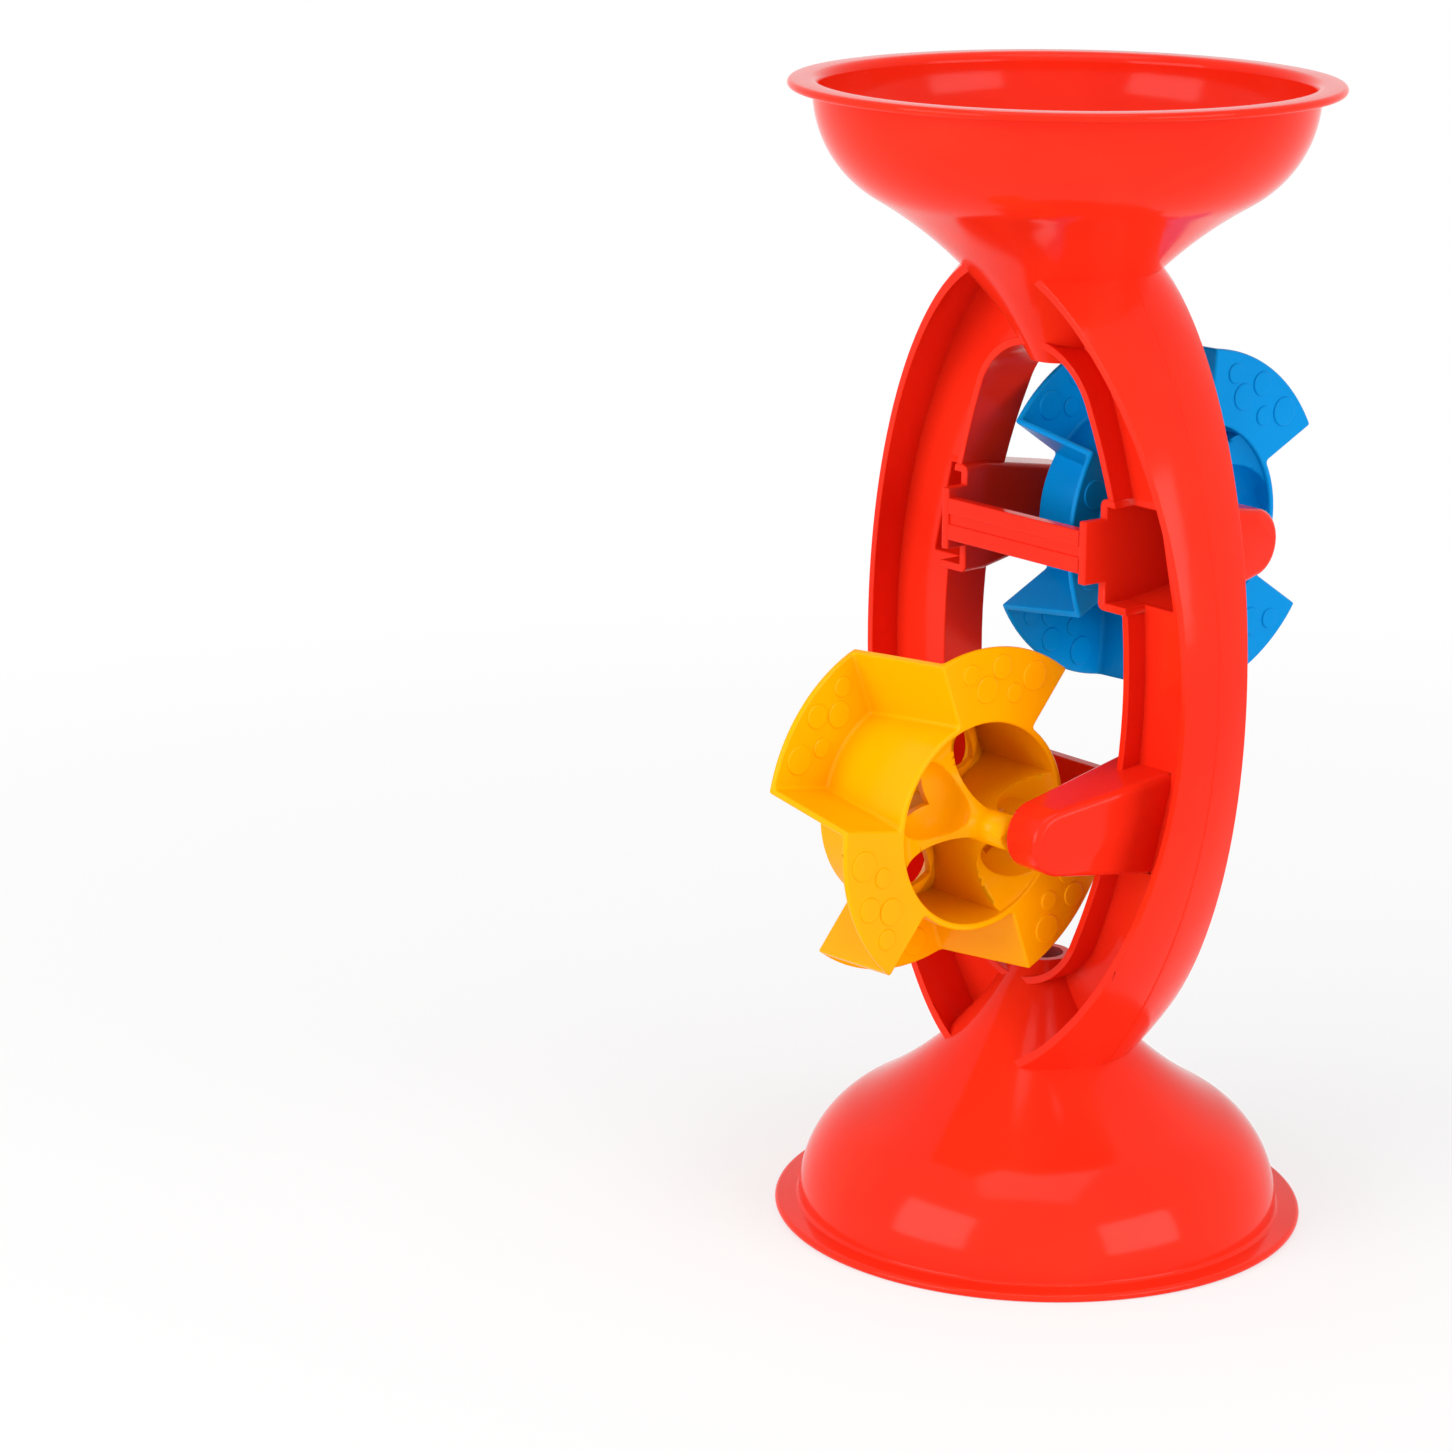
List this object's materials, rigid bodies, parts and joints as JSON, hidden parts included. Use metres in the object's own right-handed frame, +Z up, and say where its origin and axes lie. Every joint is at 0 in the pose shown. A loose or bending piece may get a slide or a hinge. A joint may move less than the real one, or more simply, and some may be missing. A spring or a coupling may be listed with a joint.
{
  "type": "sand mill",
  "caption": "Toy sand mill: a bowed tower with a funnel on top and a matching flared base, and loose paddle wheels that spin between its arms.",
  "frame": {"origin": "middle of the base's rim, on the ground", "axes": "+Z up through the funnel, +X along the axles, front wheel on the -Y side"},
  "size_m": [0.1634, 0.1928, 0.35],
  "materials": {
    "tower_red": "gloss moulded red",
    "wheel_yellow": "gloss moulded yellow",
    "wheel_blue": "gloss moulded blue"
  },
  "bodies": {
    "tower": {"funnel": "tower_red", "base": "tower_red", "left_leg": "tower_red", "right_leg": "tower_red", "front_left_arm": "tower_red", "front_right_arm": "tower_red", "rear_left_arm": "tower_red", "rear_right_arm": "tower_red", "upper_bar": "tower_red", "lower_bar": "tower_red"},
    "front_wheel": {"front_wheel": "wheel_yellow"},
    "rear_wheel": {"rear_wheel": "wheel_blue"}
  },
  "joints": [
    {"name": "front_wheel_spin", "type": "hinge", "parent": "tower", "child": "front_wheel", "pos_m": [0, -0.043, 0.1354], "axis": [1, 0, 0], "continuous": true},
    {"name": "rear_wheel_spin", "type": "hinge", "parent": "tower", "child": "rear_wheel", "pos_m": [0, 0.043, 0.2146], "axis": [1, 0, 0], "continuous": true}
  ]
}
